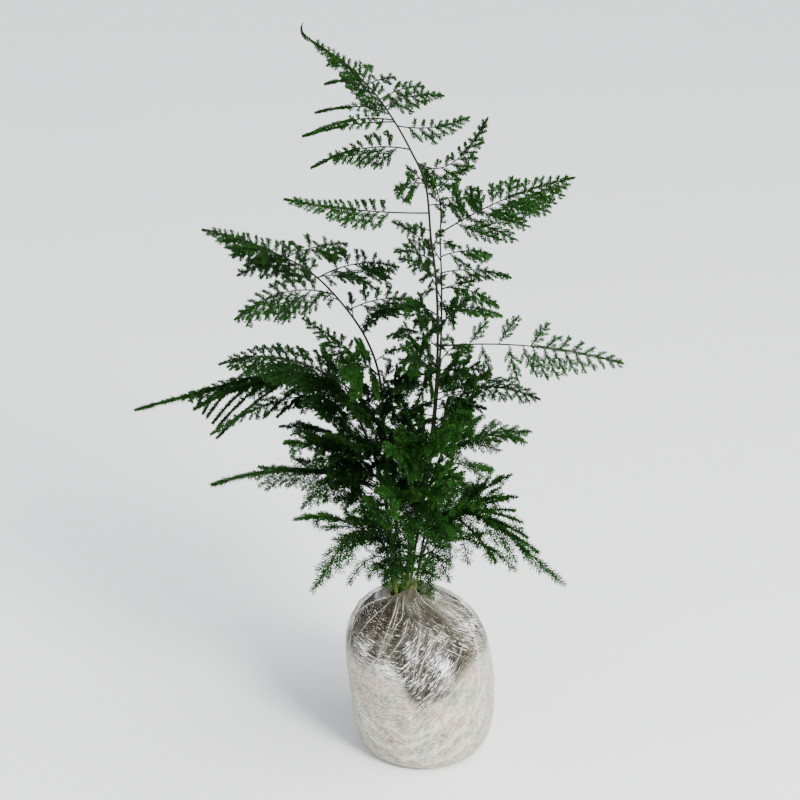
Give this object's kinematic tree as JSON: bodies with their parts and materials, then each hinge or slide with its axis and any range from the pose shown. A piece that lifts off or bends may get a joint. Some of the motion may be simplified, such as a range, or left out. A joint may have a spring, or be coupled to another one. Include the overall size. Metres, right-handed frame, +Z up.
{
  "type": "lace fern",
  "caption": "Young lace fern: feathery arching sprays on thin upright stems, rising from a soil root ball wrapped in clear stretch film.",
  "frame": {"origin": "centre of the flat underside of the wrapped root ball, on the surface that it stands on", "axes": "+Z up along the stems; +X to the right of the pictured side, where the long single spray points; -Y towards the pictured side"},
  "size_m": [0.257, 0.1799, 0.4229],
  "materials": {
    "film": "clear, creased, milky where layers overlap",
    "soil": "matte, damp, fibrous",
    "foliage": "satin, fine needles"
  },
  "bodies": {
    "root": {"film_wrap": "film", "root_ball": "soil", "stem_tall": "foliage", "stem_second": "foliage", "stem_left": "foliage", "stem_low_left": "foliage", "stem_low_right": "foliage", "stem_mid_right": "foliage", "stem_front": "foliage", "stem_low_front": "foliage", "stem_back": "foliage"}
  },
  "joints": []
}
